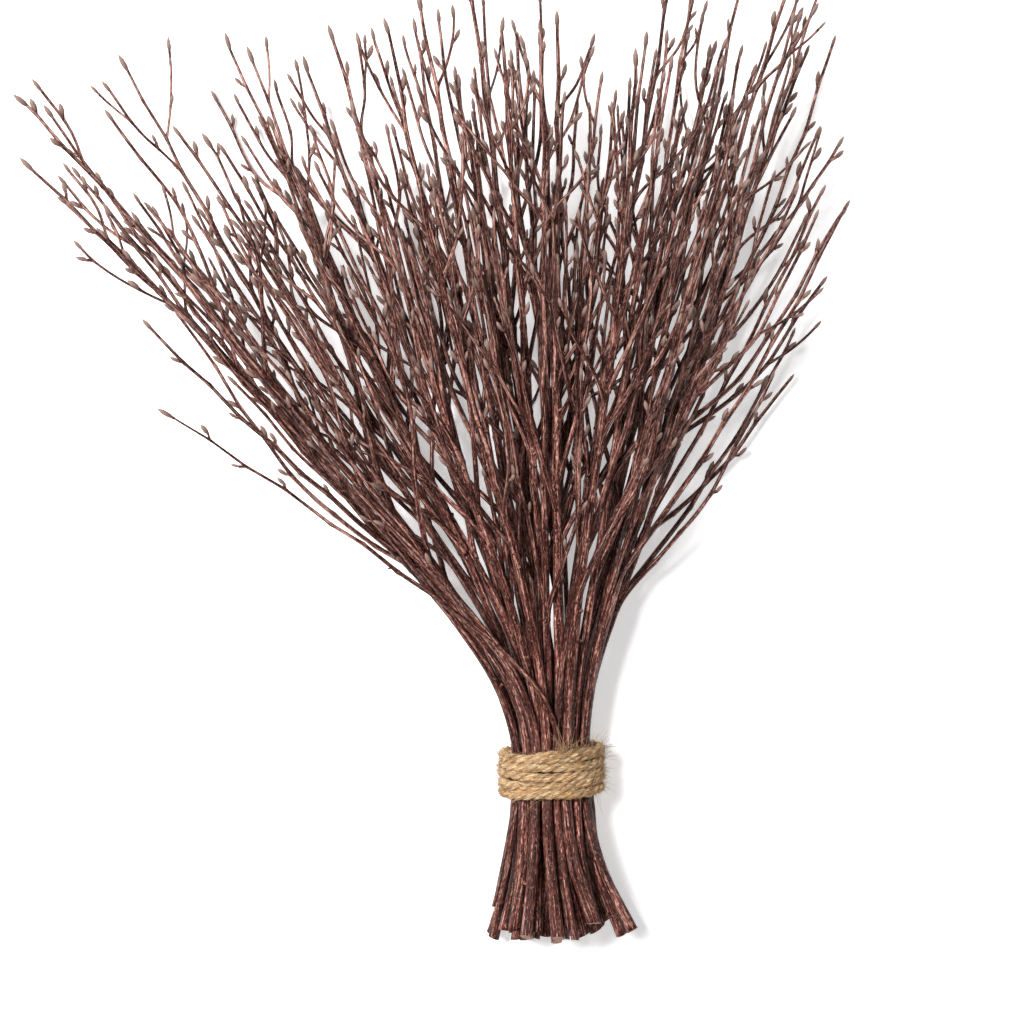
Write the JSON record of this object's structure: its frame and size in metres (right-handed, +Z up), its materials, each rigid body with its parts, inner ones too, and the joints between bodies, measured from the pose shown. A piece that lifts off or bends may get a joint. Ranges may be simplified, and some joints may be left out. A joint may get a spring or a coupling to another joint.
{
  "type": "bundle of twigs",
  "caption": "Bundle of thin budded birch twigs held by a jute twine wrap, lying down, fanning out to the tips and splayed a little at the cut ends.",
  "frame": {"origin": "middle of the bounding box, at the height of the surface the bundle lies on", "axes": "+Y along the bundle from the cut ends to the tips, +X across the fan, +Z up from the surface"},
  "size_m": [0.3104, 0.3788, 0.1132],
  "materials": {
    "bark": "dull dark reddish brown bark, wrinkled lengthwise, mauve towards the tips",
    "jute": "plain twisted jute, dull and slightly hairy"
  },
  "bodies": {
    "root": {"twig_01": "bark", "twig_02": "bark", "twig_03": "bark", "twig_04": "bark", "twig_05": "bark", "twig_06": "bark", "twig_07": "bark", "twig_08": "bark", "twig_09": "bark", "twig_10": "bark", "twig_11": "bark", "twig_12": "bark", "twig_13": "bark", "twig_14": "bark", "twig_15": "bark", "twig_16": "bark", "twig_17": "bark", "twig_18": "bark", "twig_19": "bark", "twig_20": "bark", "twig_21": "bark", "twig_22": "bark", "twig_23": "bark", "twig_24": "bark", "twig_25": "bark", "twig_26": "bark", "twig_27": "bark", "twig_28": "bark", "twig_29": "bark", "twig_30": "bark", "twig_31": "bark", "twig_32": "bark", "twig_33": "bark", "twig_34": "bark", "twine_wrap": "jute"}
  },
  "joints": []
}
